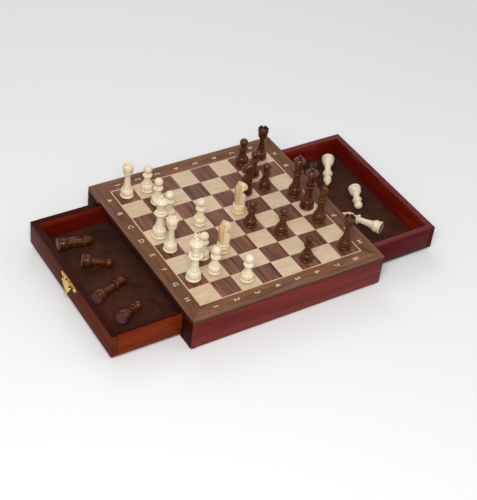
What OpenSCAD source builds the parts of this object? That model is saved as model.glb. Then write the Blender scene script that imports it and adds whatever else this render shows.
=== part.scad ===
// Wooden chess box with two drawers and a magnetic board on top.
// Origin: middle of the footprint, on the surface that the feet stand on. +Z is up, the drawers slide along X.

/* [Box] */
// Side of the square box and board
box_side = 300; // [280:1:340]
// Height of the long walls under the board
wall_h = 43; // [36:1:60]
// Thickness of the two long walls
wall_t = 27; // [16:0.5:34]
// Thickness of the bottom panel
bottom_t = 3; // [2:0.5:5]
// Depth of the rebates that hold the bottom panel
rebate = 5; // [3:0.5:8]
// Thickness of the divider between the drawers
divider_t = 8; // [5:0.5:14]
// Rounding of the box's upright corners
corner_r = 1.2; // [0.5:0.1:3]

/* [Feet] */
// Diameter of a felt foot
foot_d = 11; // [8:0.5:12]
// Height of a felt foot
foot_h = 2.5; // [1:0.5:5]
// Distance from the box's sides to a foot's centre
foot_inset = 6.5; // [6:0.5:13]

/* [Board] */
// Side of one square
square = 31.4; // [26:0.2:32]
// Width of the light inlaid line
inlay_w = 1.6; // [0.8:0.1:3]
// Thickness of the veneers
veneer_t = 1; // [0.6:0.1:1.4]
// Thickness of the core board
core_t = 4; // [3:0.5:6]
// Thickness of the steel sheet under the squares
steel_t = 0.6; // [0.4:0.1:1]
// Thickness of the edge banding
band_t = 1.5; // [0.8:0.1:3]
// Thickness of the panel under the board
under_t = 2.5; // [1.5:0.5:4]

/* [Drawers] */
// Running clearance of a drawer
drawer_gap = 0.5; // [0.3:0.1:1.5]
// Length of a drawer from its front to its back
drawer_len = 145; // [120:1:145]
// Thickness of a drawer's front
front_t = 9; // [6:0.5:14]
// Thickness of a drawer's sides and back
side_t = 9; // [6:0.5:12]
// Thickness of a drawer's bottom
drawer_bottom_t = 3; // [2:0.5:4]
// Height of a drawer's bottom over the drawer's lower edge
drawer_bottom_z = 1; // [0.5:0.5:3]
// Depth of the grooves that hold a drawer's bottom
groove = 4; // [2:0.5:5]
// Gap over a drawer
drawer_top_gap = 0.8; // [0.5:0.1:2]
// Thickness of the felt lining
felt_t = 1; // [0.5:0.1:2]
// How far the left drawer stands open
left_open = 100; // [60:1:115]
// How far the right drawer stands open
right_open = 112; // [60:1:115]

/* [Pulls] */
// Length of the brass backplate
plate_w = 44; // [36:1:60]
// Height of the brass backplate
plate_h = 11; // [9:0.5:16]
// Thickness of the brass sheet
plate_t = 0.8; // [0.5:0.1:1.5]
// Distance from the drawer's top edge to the plate's top
plate_top = 3.5; // [1:0.5:6]
// Diameter of the hinge pin
pin_d = 1.6; // [1:0.1:2.4]
// Clearance round the hinge pin
pin_gap = 0.1; // [0.05:0.05:0.2]
// Width of the swinging drop
drop_w = 25; // [18:1:30]
// Length of the drop under its pin
drop_l = 20; // [14:0.5:24]
// Thickness of the drop
drop_t = 1.2; // [0.8:0.1:2]
// Diameter of the plate's nails
nail_d = 1.4; // [1:0.1:2]
// Length of the plate's nails
nail_l = 6; // [4:0.5:8]

/* [Chessmen] */
// Height of a pawn
pawn_h = 43; // [38:0.5:46]
// Height of a rook
rook_h = 53; // [48:0.5:58]
// Height of a knight
knight_h = 54; // [50:0.5:58]
// Height of a bishop
bishop_h = 63; // [58:0.5:66]
// Height of a queen
queen_h = 69.5; // [64:0.5:74]
// Height of a king, with its cross
king_h = 78; // [72:0.5:84]
// Radius of a pawn's foot
pawn_r = 9.5; // [8.5:0.25:10.5]
// Radius of a rook's, knight's or bishop's foot
officer_r = 9.75; // [9.25:0.25:11.5]
// Radius of a queen's or king's foot
royal_r = 10.5; // [9.75:0.25:12.5]
// Diameter of the magnet in a foot
magnet_d = 8; // [5:0.5:9]
// Height of the magnet in a foot
magnet_h = 3; // [2:0.5:4]
// Thickness of the felt under a foot
base_felt_t = 0.5; // [0.3:0.1:1]

/* [Hidden] */
$fn = 48;
join = 0.01;
half = box_side / 2;
wall_z = foot_h;
wall_top = wall_z + wall_h;
board_z = wall_top;
core_top = board_z + core_t;
top_z = core_top + veneer_t;
field = 8 * square;
line_side = field + 2 * inlay_w;
steel_side = line_side;
inner_y = half - wall_t;
bay_z = wall_z + bottom_t;
under_z = board_z - under_t;
bottom_fit = 0.1;
edge_break = 0.5;

drawer_w = 2 * (inner_y - drawer_gap);
drawer_z = bay_z + drawer_gap;
drawer_top = under_z - drawer_top_gap;
drawer_h = drawer_top - drawer_z;
panel_z = drawer_z + drawer_bottom_z;
floor_z = panel_z + drawer_bottom_t + felt_t;
felt_edge = 0.3;

screw_head_d = 5;
screw_d = 2.5;
screw_l = 14;
screw_x = [-half + 45, -half + 115, half - 115, half - 45];
screw_y = inner_y + rebate / 2;

// hinge of a pull, seen from the front's outer face
pin_z = drawer_top - plate_top - plate_h * 0.45;
ear_out = 2.9;
ear_w = 1.4;
ear_span = 13;
knuckle_r = pin_d / 2 + pin_gap + 0.9;
nail_head_d = 3;
nail_head_t = 0.7;
nail_x = plate_w * 0.36;
horn_r = 2.2;
lip_r = 1.1;

lay_gap = 0.25;
stand_gap = 0.25;
fit = 0.05;

// ---------------------------------------------------------------- the box

module slab(w, d, h, r) {
  linear_extrude(h)
    offset_square(w, d, r);
}

// a rectangle with true round corners
module offset_square(w, d, r) {
  square([w - 2 * r, d], center = true);
  square([w, d - 2 * r], center = true);
  for (sx = [-1, 1], sy = [-1, 1])
    translate([sx * (w / 2 - r), sy * (d / 2 - r)])
      circle(r);
}

module board_core() {
  color("saddlebrown")
    difference() {
      translate([0, 0, board_z])
        linear_extrude(core_t)
          square(box_side - 2 * band_t, center = true);
      translate([0, 0, core_top - steel_t])
        linear_extrude(steel_t + 1)
          square(steel_side, center = true);
    }
}

module edge_banding() {
  color("#4a3024")
    translate([0, 0, board_z])
      linear_extrude(core_t)
        difference() {
          offset_square(box_side, box_side, corner_r);
          square(box_side - 2 * band_t, center = true);
        }
}

module steel_sheet() {
  color("lightsteelblue")
    translate([0, 0, core_top - steel_t])
      linear_extrude(steel_t)
        square(steel_side, center = true);
}

// the squares of one colour: parity 0 holds the corner squares at the back left
module squares(parity) {
  for (rank = [0:7], file = [0:7])
    if ((rank + file) % 2 == parity)
      translate([-field / 2 + rank * square, field / 2 - (file + 1) * square, core_top])
        cube([square, square, veneer_t]);
}

module dark_squares() {
  color("#5c3a2e") squares(0);
}

module light_squares() {
  color("#dcc3a0") squares(1);
}

module inlay_line() {
  color("#e8c8a0")
    translate([0, 0, core_top])
      linear_extrude(veneer_t)
        difference() {
          square(line_side, center = true);
          square(field, center = true);
        }
}

// four strips of veneer with mitred corners
module border_strips() {
  color("#8a6550")
    for (turn = [0:90:270])
      rotate(turn)
        translate([0, 0, core_top])
          linear_extrude(veneer_t)
            intersection() {
              offset_square(box_side, box_side, corner_r);
              polygon([
                [-line_side / 2, -line_side / 2], [line_side / 2, -line_side / 2],
                [half + 1, -half - 1], [-half - 1, -half - 1]
              ]);
            }
}

module under_panel() {
  color("#6b4030")
    translate([-half, -inner_y, under_z])
      cube([box_side, 2 * inner_y, under_t]);
}

// a long wall with the rebate for the bottom panel and the screw holes through the panel's edge
module long_wall() {
  difference() {
    translate([0, half - wall_t / 2, wall_z])
      slab(box_side, wall_t, wall_h, corner_r);
    translate([-half - 1, inner_y - 1, wall_z - 1])
      cube([box_side + 2, rebate + 1, bottom_t + 1]);
    for (x = screw_x)
      translate([x, screw_y, wall_z])
        cylinder(d = screw_d, h = screw_l);
  }
}

module front_wall() {
  color("#642d2a") mirror([0, 1, 0]) long_wall();
}

module back_wall() {
  color("#642d2a") long_wall();
}

module bottom_panel() {
  color("#4a2a20")
    difference() {
      translate([-half, -(inner_y + rebate - bottom_fit), wall_z])
        cube([box_side, 2 * (inner_y + rebate - bottom_fit), bottom_t]);
      for (x = screw_x, s = [-1, 1])
        translate([x, s * screw_y, wall_z - 1]) {
          cylinder(d = screw_d, h = bottom_t + 2);
          translate([0, 0, 1])
            cylinder(d1 = screw_head_d, d2 = screw_d, h = (screw_head_d - screw_d) / 2);
        }
    }
}

module divider() {
  color("#6b4030")
    translate([-divider_t / 2, -inner_y, bay_z])
      cube([divider_t, 2 * inner_y, under_z - bay_z]);
}

module feet() {
  color("#1c1a19")
    for (sx = [-1, 1], sy = [-1, 1])
      translate([sx * (half - foot_inset), sy * (half - foot_inset), 0])
        rotate_extrude()
          union() {
            square([foot_d / 2 - edge_break, foot_h]);
            translate([0, edge_break]) square([foot_d / 2, foot_h - edge_break]);
            translate([foot_d / 2 - edge_break, edge_break]) circle(edge_break);
          }
}

module bottom_screws() {
  color("silver")
    for (x = screw_x, s = [-1, 1])
      translate([x, s * screw_y, wall_z])
        difference() {
          union() {
            cylinder(d1 = screw_head_d, d2 = screw_d, h = (screw_head_d - screw_d) / 2);
            cylinder(d = screw_d, h = screw_l - 1);
          }
          for (turn = [0, 90])
            rotate(turn)
              translate([-screw_head_d * 0.3, -0.3, -1])
                cube([screw_head_d * 0.6, 0.6, 1.7]);
        }
}

// ------------------------------------------------------------ the drawers
// A drawer is drawn at the right, with its outer face at x = 0 and its inside towards -X.

module placed(side, open) {
  translate([side * (half + open), 0, 0])
    mirror([side < 0 ? 1 : 0, 0, 0])
      children();
}

module drawer_front() {
  difference() {
    translate([-front_t / 2, 0, drawer_z])
      slab(front_t, drawer_w, drawer_h, edge_break);
    translate([-front_t - 1, -drawer_w / 2 + side_t - groove, panel_z])
      cube([groove + 1, drawer_w - 2 * side_t + 2 * groove, drawer_bottom_t]);
    for (s = [-1, 1])
      translate([-nail_l, s * nail_x, plate_mid()])
        rotate([0, 90, 0]) cylinder(d = nail_d, h = nail_l + 1);
  }
}

module drawer_sides() {
  for (s = [-1, 1])
    difference() {
      translate([-drawer_len + side_t, s < 0 ? -drawer_w / 2 : drawer_w / 2 - side_t, drawer_z])
        cube([drawer_len - front_t - side_t, side_t, drawer_h]);
      translate([-drawer_len, s < 0 ? -drawer_w / 2 + side_t - groove : drawer_w / 2 - side_t - 1, panel_z])
        cube([drawer_len, groove + 1, drawer_bottom_t]);
    }
}

module drawer_back() {
  difference() {
    translate([-drawer_len, -drawer_w / 2, drawer_z])
      cube([side_t, drawer_w, drawer_h]);
    translate([-drawer_len + side_t - groove, -drawer_w / 2 + side_t - groove, panel_z])
      cube([groove + 1, drawer_w - 2 * side_t + 2 * groove, drawer_bottom_t]);
  }
}

module drawer_bottom() {
  translate([
    -drawer_len + side_t - groove + bottom_fit, -drawer_w / 2 + side_t - groove + bottom_fit, panel_z
  ])
    cube([
      drawer_len - front_t - side_t + 2 * (groove - bottom_fit),
      drawer_w - 2 * (side_t - groove + bottom_fit),
      drawer_bottom_t
    ]);
}

module drawer_felt() {
  translate([-drawer_len + side_t + felt_edge, -drawer_w / 2 + side_t + felt_edge, floor_z - felt_t])
    cube([drawer_len - front_t - side_t - 2 * felt_edge, drawer_w - 2 * (side_t + felt_edge), felt_t]);
}

// -------------------------------------------------------------- the pulls
// A pull is drawn on the drawer's outer face, x pointing out, y along the front.

function plate_mid() = drawer_top - plate_top - plate_h / 2;

// outline of the stamped backplate, drawn with its length along x: waisted wings with a raised middle
module plate_outline() {
  circle(plate_h / 2);
  for (s = [-1, 1]) {
    translate([s * plate_w * 0.19, plate_h * 0.12]) circle(plate_h * 0.32);
    translate([s * plate_w * 0.19, -plate_h * 0.1]) circle(plate_h * 0.34);
    translate([s * plate_w * 0.33, 0]) circle(plate_h * 0.4);
    translate([s * (plate_w / 2 - plate_h * 0.22), plate_h * 0.08]) circle(plate_h * 0.22);
    translate([s * plate_w * 0.4, -plate_h * 0.22]) circle(plate_h * 0.2);
  }
  square([plate_w * 0.76, plate_h * 0.42], center = true);
}

// turns a drawing in x, y into one on the front's outer face
module on_face(z) {
  translate([0, 0, z])
    rotate([90, 0, 90])
      children();
}

module pull_plate() {
  color("goldenrod") {
    difference() {
      on_face(plate_mid())
        linear_extrude(plate_t) plate_outline();
      for (s = [-1, 1])
        translate([-1, s * nail_x, plate_mid()])
          rotate([0, 90, 0]) cylinder(d = nail_d, h = plate_t + 2);
    }
    // ears that carry the pin
    for (s = [-1, 1])
      translate([plate_t - join, s * ear_span / 2 - ear_w / 2, pin_z])
        difference() {
          union() {
            translate([0, 0, -knuckle_r]) cube([ear_out - plate_t, ear_w, 2 * knuckle_r]);
            translate([ear_out - plate_t, ear_w, 0])
              rotate([90, 0, 0]) cylinder(r = knuckle_r, h = ear_w);
          }
          translate([ear_out - plate_t, ear_w + 1, 0])
            rotate([90, 0, 0]) cylinder(d = pin_d + 2 * pin_gap, h = ear_w + 2);
        }
    // nails
    for (s = [-1, 1])
      translate([0, s * nail_x, plate_mid()])
        rotate([0, 90, 0]) {
          translate([0, 0, -nail_l]) cylinder(d = nail_d - 2 * fit, h = nail_l + plate_t + 0.1);
          translate([0, 0, plate_t + fit]) cylinder(d = nail_head_d, h = nail_head_t);
        }
  }
}

// outline of the drop, hanging under its pin at the origin
module drop_outline() {
  difference() {
    union() {
      translate([0, -drop_l * 0.42]) circle(drop_l * 0.34);
      for (s = [-1, 1]) {
        translate([s * (drop_w / 2 - horn_r), -drop_l * 0.12]) circle(horn_r);
        translate([s * drop_w * 0.3, -drop_l * 0.34]) circle(drop_l * 0.16);
      }
      translate([-drop_w / 2 + horn_r, -drop_l * 0.26]) square([drop_w - 2 * horn_r, drop_l * 0.2]);
      translate([0, -drop_l * 0.78]) circle(drop_l * 0.14);
      translate([-drop_l * 0.1, -drop_l + lip_r]) square([drop_l * 0.2, drop_l * 0.3]);
    }
    for (s = [-1, 1])
      translate([s * drop_w * 0.27, -drop_l * 0.02]) circle(drop_l * 0.12);
  }
}

module pull_drop() {
  knuckle_w = ear_span - 2 * ear_w;
  color("gold")
    translate([ear_out, 0, pin_z]) {
      // knuckle and pin
      translate([0, (ear_span + ear_w) / 2 + 0.6, 0])
        rotate([90, 0, 0]) cylinder(d = pin_d, h = ear_span + ear_w + 1.2);
      translate([0, knuckle_w / 2, 0])
        rotate([90, 0, 0]) cylinder(r = knuckle_r, h = knuckle_w);
      // stamped sheet
      translate([knuckle_r - drop_t, 0, 0])
        rotate([90, 0, 90])
          linear_extrude(drop_t) drop_outline();
      translate([knuckle_r - drop_t, -knuckle_w / 2, -drop_l * 0.2])
        cube([drop_t, knuckle_w, drop_l * 0.2]);
      // rolled lip
      translate([knuckle_r - drop_t / 2, drop_l * 0.16, -drop_l + lip_r])
        rotate([90, 0, 0]) cylinder(r = lip_r, h = drop_l * 0.32);
    }
}

// ----------------------------------------------------------- the chessmen
// A chessman is turned about Z with its foot on z = 0. Profiles are half sections in x = radius, y = height.

// a disc with a fully round edge
module ring(r, z, t) {
  translate([r - t / 2, z]) circle(t / 2);
  translate([0, z - t / 2]) square([r - t / 2, t]);
}

// a stem that sweeps in from r0 at z0 to r1 at z1 as a curve
module sweep(r0, z0, r1, z1, bend = 2.2) {
  steps = 10;
  polygon(concat(
    [[0, z0]],
    [for (i = [0:steps]) [r1 + (r0 - r1) * pow(1 - i / steps, bend), z0 + (z1 - z0) * i / steps]],
    [[0, z1]]
  ));
}

// rim of the foot, the bell over it and the step that ends the bell
module foot_profile(r, step_r, step_z) {
  draw_in = r - 0.5 - step_r;
  rise = step_z - bell_z;
  bell_r = (draw_in * draw_in + rise * rise) / (2 * draw_in);
  ring(r, base_felt_t + rim_h / 2, rim_h);
  ring(r - 0.7, bell_z - 0.6, 2);
  intersection() {
    translate([r - 0.9 - bell_r, bell_z]) circle(bell_r);
    translate([0, bell_z]) square([r, rise]);
  }
  ring(step_r, step_z + step_t / 4, step_t);
}
rim_h = 3.4;
bell_z = 4.8;
step_t = 1.8;

// keeps a half section right of the axis
module lathe() {
  rotate_extrude()
    intersection() {
      children();
      square([30, 200]);
    }
}

// wooden body with the magnet's hole, the magnet and the felt
module weighted(r, wood) {
  color(wood)
    difference() {
      children();
      translate([0, 0, -1]) cylinder(d = magnet_d + 2 * fit, h = base_felt_t + magnet_h + fit + 1);
      translate([0, 0, -1]) cylinder(r = r + 1, h = base_felt_t + 1);
    }
  color("silver")
    translate([0, 0, base_felt_t]) cylinder(d = magnet_d, h = magnet_h);
  color("#6b1f22")
    cylinder(r = r - 1.6, h = base_felt_t - fit);
}

ball_r = 6.2;
collar_r = 6.9;
pawn_step_z = 14.4;
officer_step_z = 15.6;
royal_step_z = 17;
module pawn(wood) {
  weighted(pawn_r, wood)
    lathe() {
      foot_profile(pawn_r, 6.1, pawn_step_z);
      sweep(5.5, pawn_step_z + 0.8, 4.1, pawn_h - 2 * ball_r - 2.5);
      ring(collar_r, pawn_h - 2 * ball_r - 1.5, 2.6);
      sweep(5.2, pawn_h - 2 * ball_r - 1, 3.5, pawn_h - 2 * ball_r + 2, 1);
      translate([0, pawn_h - ball_r]) circle(ball_r);
    }
}

turret_r = 7;
turret_h = 15;
merlon_h = 2.4;
merlon_t = 1.8;
module rook(wood) {
  weighted(officer_r, wood)
    difference() {
      lathe() {
        foot_profile(officer_r, 6.5, officer_step_z);
        sweep(5.8, officer_step_z + 0.8, 3.9, rook_h - turret_h);
        intersection() {
          translate([0, rook_h - turret_h + 3]) circle(turret_r - 0.9);
          translate([0, rook_h - turret_h - 5]) square([turret_r, 8]);
        }
        polygon([
          [0, rook_h - turret_h + 3], [turret_r - 0.9, rook_h - turret_h + 3], [turret_r, rook_h - 4],
          [turret_r, rook_h], [0, rook_h]
        ]);
      }
      translate([0, 0, rook_h - merlon_h - 0.6]) cylinder(r = turret_r - merlon_t, h = merlon_h + 1);
      for (turn = [0:60:120])
        rotate(turn)
          translate([-turret_r - 1, -1.1, rook_h - merlon_h]) cube([2 * turret_r + 2, 2.2, merlon_h + 1]);
    }
}

mitre_r = 5.6;
mitre_h = 15;
module bishop(wood) {
  weighted(officer_r, wood)
    difference() {
      lathe() {
        foot_profile(officer_r, 6.5, officer_step_z);
        sweep(5.8, officer_step_z + 0.8, 4.2, bishop_h - mitre_h - 4.6);
        ring(7.4, bishop_h - mitre_h - 7, 2.6);
        ring(5.4, bishop_h - mitre_h - 4.6, 2);
        sweep(4.6, bishop_h - mitre_h - 4.6, 3.6, bishop_h - mitre_h, 1);
        intersection() {
          translate([mitre_r - 11.5, bishop_h - mitre_h + 6]) circle(11.5);
          translate([0, bishop_h - mitre_h - 1]) square([mitre_r + 1, mitre_h]);
        }
        translate([0, bishop_h - 2.6]) circle(2.6);
      }
      // the cut across the mitre
      translate([0.6, 0, bishop_h - mitre_h * 0.62])
        rotate([0, -35, 0])
          translate([0, -mitre_r - 1, -0.5]) cube([mitre_r + 4, 2 * mitre_r + 2, 1]);
    }
}

coronet_r = 7.6;
module queen(wood) {
  weighted(royal_r, wood)
    difference() {
      lathe() {
        foot_profile(royal_r, 6.9, royal_step_z);
        sweep(6.3, royal_step_z + 0.8, 4.8, queen_h - 19);
        ring(8.4, queen_h - 22, 2.8);
        ring(6.2, queen_h - 19.3, 2);
        sweep(coronet_r, queen_h - 6, 4.6, queen_h - 19, 1.6);
        sweep(coronet_r - 0.6, queen_h - 6, 2.4, queen_h - 3.4, 0.8);
        translate([0, queen_h - 2.5]) circle(2.5);
      }
      // notches of the coronet
      for (turn = [0:45:315])
        rotate(turn)
          translate([coronet_r + 0.5, 0, queen_h - 5.4])
            rotate([90, 0, 0]) cylinder(r = 1.5, h = 2.2, center = true);
    }
}

cross_h = 8;
cross_w = 8;
cross_t = 3;
module king(wood) {
  weighted(royal_r, wood)
    union() {
      lathe() {
        foot_profile(royal_r, 6.9, royal_step_z);
        sweep(6.4, royal_step_z + 0.8, 5.1, king_h - cross_h - 18);
        ring(9, king_h - cross_h - 21, 3);
        ring(6.4, king_h - cross_h - 18, 2.2);
        sweep(8.2, king_h - cross_h - 5, 5.4, king_h - cross_h - 18, 1.6);
        ring(8.6, king_h - cross_h - 4.4, 2.4);
        sweep(7.2, king_h - cross_h - 3.4, 2, king_h - cross_h + 0.6, 0.9);
      }
      // cross with flared arms
      translate([0, cross_t / 2, king_h - cross_h])
        rotate([90, 0, 0])
          linear_extrude(cross_t)
            for (turn = [0:90:270])
              translate([0, cross_h / 2])
                rotate(turn)
                  polygon([[-0.9, 0], [0.9, 0], [1.9, cross_w / 2], [-1.9, cross_w / 2]]);
    }
}

// a horse's head in profile, facing +X, standing on the bell
horse_t = 9.6;
horse_z = 14;
module knight(wood) {
  top = knight_h - horse_z;
  weighted(officer_r, wood)
    union() {
      lathe() foot_profile(officer_r, 8.5, horse_z - step_t / 2);
      translate([0, horse_t / 2, horse_z])
        rotate([90, 0, 0])
          linear_extrude(horse_t)
            horse_outline(top);
    }
}

// chest, throat, muzzle, face, ear and the back of the neck, over a height of top
module horse_outline(top) {
  polygon([
    [5.6, 0], [8.1, top * 0.12], [8.9, top * 0.25], [7.9, top * 0.355], [5.4, top * 0.435], [3.2, top * 0.505],
    [3.2, top * 0.55], [4.8, top * 0.58], [8.3, top * 0.585], [9.6, top * 0.615], [10.1, top * 0.665],
    [9.8, top * 0.725], [8.6, top * 0.785], [6.2, top * 0.845], [3.4, top * 0.9], [0.2, top * 0.945],
    [-2.4, top], [-5.2, top * 0.89], [-6.9, top * 0.785], [-7.9, top * 0.63], [-8, top * 0.47],
    [-7.7, top * 0.29], [-7, top * 0.12], [-5.6, 0]
  ]);
}

// stands a chessman on a square: rank 1 to 8 from the left, file A = 1 to H = 8 from the back
module on_square(file, rank, turn = 0) {
  translate([(rank - 4.5) * square, (4.5 - file) * square, top_z + stand_gap])
    rotate(turn)
      children();
}

// angle at which a chessman with foot radius r0 and a head of radius r1 at height z1 lies on a flat floor
function lay_tilt(r0, r1, z1) =
  asin((1.7 - r1) / norm([z1 - base_felt_t - 1.7, r0 - 1.7])) + atan2(r0 - 1.7, z1 - base_felt_t - 1.7);

// lays a chessman on the drawer's floor: its foot at x, y, its head towards the angle turn
module laid(x, y, turn, r0, r1, z1, roll = 0) {
  tilt = lay_tilt(r0, r1, z1);
  lift = r1 + z1 * sin(tilt);
  translate([x, y, floor_z + lay_gap + lift])
    rotate([0, 0, turn])
      rotate([0, 90 + tilt, 0])
        rotate([0, 0, roll])
          children();
}

light = "#eee3c8";
dark = "#5a3018";

// distance of a lying chessman's foot from the inner face of its drawer's front
module in_left(depth) {
  translate([-half - left_open + front_t + depth, 0, 0]) children();
}

module in_right(depth) {
  translate([half + right_open - front_t - depth, 0, 0]) children();
}

pawn_head_z = pawn_h - ball_r;
bishop_collar_z = bishop_h - mitre_h - 7;

// the box
board_core();
edge_banding();
steel_sheet();
dark_squares();
light_squares();
inlay_line();
border_strips();
under_panel();
front_wall();
back_wall();
bottom_panel();
divider();
feet();
bottom_screws();

// the drawers
placed(-1, left_open) color("#5a2522") drawer_front();  // left_drawer_front
placed(-1, left_open) color("#7a3010") drawer_sides();  // left_drawer_sides
placed(-1, left_open) color("#5a2522") drawer_back();  // left_drawer_back
placed(-1, left_open) color("#6b4030") drawer_bottom();  // left_drawer_bottom
placed(-1, left_open) color("#3a241a") drawer_felt();  // left_drawer_felt
placed(-1, left_open) pull_plate();  // left_pull_plate
placed(-1, left_open) pull_drop();  // left_pull_drop
placed(1, right_open) color("#5a2522") drawer_front();  // right_drawer_front
placed(1, right_open) color("#7a3010") drawer_sides();  // right_drawer_sides
placed(1, right_open) color("#5a2522") drawer_back();  // right_drawer_back
placed(1, right_open) color("#6b4030") drawer_bottom();  // right_drawer_bottom
placed(1, right_open) color("#3a241a") drawer_felt();  // right_drawer_felt
placed(1, right_open) pull_plate();  // right_pull_plate
placed(1, right_open) pull_drop();  // right_pull_drop

// the light chessmen
on_square(1, 1) rook(light);  // light_rook_1
on_square(5, 1) rook(light);  // light_rook_2
on_square(6, 3, -10) knight(light);  // light_knight_1
on_square(4, 5, -10) knight(light);  // light_knight_2
in_right(22) laid(0, 99, -125, officer_r, 7.4, bishop_collar_z, 90) bishop(light);  // light_bishop_1
in_right(46) laid(0, -73, 118, officer_r, 7.4, bishop_collar_z, 90) bishop(light);  // light_bishop_2
on_square(4, 1) queen(light);  // light_queen
on_square(7, 1, -20) king(light);  // light_king
on_square(1, 2) pawn(light);  // light_pawn_1
on_square(2, 2) pawn(light);  // light_pawn_2
on_square(3, 2) pawn(light);  // light_pawn_3
on_square(4, 3) pawn(light);  // light_pawn_4
on_square(6, 2) pawn(light);  // light_pawn_5
on_square(7, 2) pawn(light);  // light_pawn_6
on_square(8, 3) pawn(light);  // light_pawn_7
in_right(27) laid(0, 22, -115, pawn_r, ball_r, pawn_head_z) pawn(light);  // light_pawn_8

// the dark chessmen
on_square(1, 8) rook(dark);  // dark_rook_1
on_square(8, 8) rook(dark);  // dark_rook_2
on_square(3, 6, 170) knight(dark);  // dark_knight_1
in_left(15) laid(0, 86, -6, officer_r, horse_t / 2, knight_h, 90) knight(dark);  // dark_knight_2
on_square(6, 8, 200) bishop(dark);  // dark_bishop_1
in_left(15) laid(0, -31, 22, officer_r, 7.4, bishop_collar_z, 90) bishop(dark);  // dark_bishop_2
on_square(4, 8) queen(dark);  // dark_queen
on_square(5, 8, -20) king(dark);  // dark_king
on_square(1, 7) pawn(dark);  // dark_pawn_1
on_square(2, 7) pawn(dark);  // dark_pawn_2
on_square(3, 7) pawn(dark);  // dark_pawn_3
on_square(5, 5) pawn(dark);  // dark_pawn_4
on_square(6, 6) pawn(dark);  // dark_pawn_5
on_square(8, 6) pawn(dark);  // dark_pawn_6
in_left(31) laid(0, 44, -28, pawn_r, ball_r, pawn_head_z) pawn(dark);  // dark_pawn_7
in_left(27) laid(0, -78, 25, pawn_r, ball_r, pawn_head_z) pawn(dark);  // dark_pawn_8
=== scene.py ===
import bpy, bmesh, math
from mathutils import Matrix, Vector, geometry


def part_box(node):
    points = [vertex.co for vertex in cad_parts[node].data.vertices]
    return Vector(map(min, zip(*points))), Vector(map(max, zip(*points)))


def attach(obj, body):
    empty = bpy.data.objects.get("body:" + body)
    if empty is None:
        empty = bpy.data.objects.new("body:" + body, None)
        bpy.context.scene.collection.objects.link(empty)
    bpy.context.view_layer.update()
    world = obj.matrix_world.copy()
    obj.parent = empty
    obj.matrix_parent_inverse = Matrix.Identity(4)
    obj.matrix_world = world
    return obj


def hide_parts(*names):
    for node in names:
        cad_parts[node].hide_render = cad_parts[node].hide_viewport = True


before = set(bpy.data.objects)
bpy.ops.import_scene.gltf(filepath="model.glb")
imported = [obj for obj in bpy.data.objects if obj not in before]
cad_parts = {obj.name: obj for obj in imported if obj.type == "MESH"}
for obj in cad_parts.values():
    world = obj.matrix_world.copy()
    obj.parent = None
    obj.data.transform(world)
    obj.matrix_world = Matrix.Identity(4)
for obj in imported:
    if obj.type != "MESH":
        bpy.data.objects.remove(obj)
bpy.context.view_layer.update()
MM = 0.001


# ------------------------------------------------------------------ helpers
# Colours are given as sRGB hex. Sizes in these functions are in millimetres
# of the row frame, and every mesh is written in metres at the origin.

def lin(text):
    v = [int(text[i:i + 2], 16) / 255 for i in (1, 3, 5)]
    return tuple(c / 12.92 if c <= 0.04045 else ((c + 0.055) / 1.055) ** 2.4 for c in v) + (1.0,)


# links sockets to a node's inputs, and sets plain numbers on them
def feed(nt, node, ins):
    for k, v in ins.items():
        if isinstance(v, bpy.types.NodeSocket):
            nt.links.new(v, node.inputs[k])
        else:
            node.inputs[k].default_value = v


def add(nt, kind, ins=None, **props):
    n = nt.nodes.new(kind)
    for k, v in props.items():
        setattr(n, k, v)
    feed(nt, n, ins or {})
    return n


def material(name):
    m = bpy.data.materials.new(name)
    m.use_nodes = True
    nt = m.node_tree
    nt.nodes.clear()
    bsdf = add(nt, "ShaderNodeBsdfPrincipled")
    add(nt, "ShaderNodeOutputMaterial", {"Surface": bsdf.outputs[0]})
    return m, nt, bsdf


def object_space(nt):
    return add(nt, "ShaderNodeTexCoord").outputs["Object"]


def noise(nt, co, scale, detail, **more):
    return add(nt, "ShaderNodeTexNoise", {"Vector": co, "Scale": scale, "Detail": detail, **more}).outputs["Fac"]


def bump(nt, height, strength, distance=0.0002):
    return add(nt, "ShaderNodeBump", {"Height": height, "Strength": strength, "Distance": distance}).outputs[0]


def maths(nt, op, *values):
    return add(nt, "ShaderNodeMath", dict(enumerate(values)), operation=op).outputs[0]


def ramp(nt, fac, stops):
    r = add(nt, "ShaderNodeValToRGB", {"Fac": fac})
    e = r.color_ramp.elements
    while len(e) < len(stops):
        e.new(0.5)
    for el, (p, c) in zip(e, stops):
        el.position = p
        el.color = lin(c)
    return r.outputs[0]


# mixes two colours
def mix(nt, fac, a, b, mode="MIX"):
    return add(nt, "ShaderNodeMix", {0: fac, 6: a, 7: b}, data_type="RGBA", blend_type=mode).outputs[2]


# Wood: broad figure about 10 mm wide and fine pores about 1 mm wide, both
# stretched along the grain, which runs along axis 0, 1 or 2.
def wood_colour(nt, co, along, tones, seed, figure=95.0, pores=900.0, pore_depth=0.35, stretch=0.07):
    across = [figure] * 3
    across[along] = figure * stretch
    fine = [pores] * 3
    fine[along] = pores * 0.035
    m1 = add(nt, "ShaderNodeMapping", {"Vector": co, "Scale": across, "Location": (seed, seed * 1.7, seed * 0.6)})
    broad = noise(nt, m1.outputs[0], 1.0, 5.0, Roughness=0.55, Distortion=0.9)
    m2 = add(nt, "ShaderNodeMapping", {"Vector": co, "Scale": fine, "Location": (seed, 0.3, seed)})
    pore = noise(nt, m2.outputs[0], 1.0, 3.0, Roughness=0.6)
    dark = ramp(nt, pore, [(0.36, "#000000"), (0.56, "#ffffff")])
    shade = mix(nt, pore_depth, (1, 1, 1, 1), dark)
    return mix(nt, 1.0, ramp(nt, broad, tones), shade, "MULTIPLY"), pore


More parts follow.
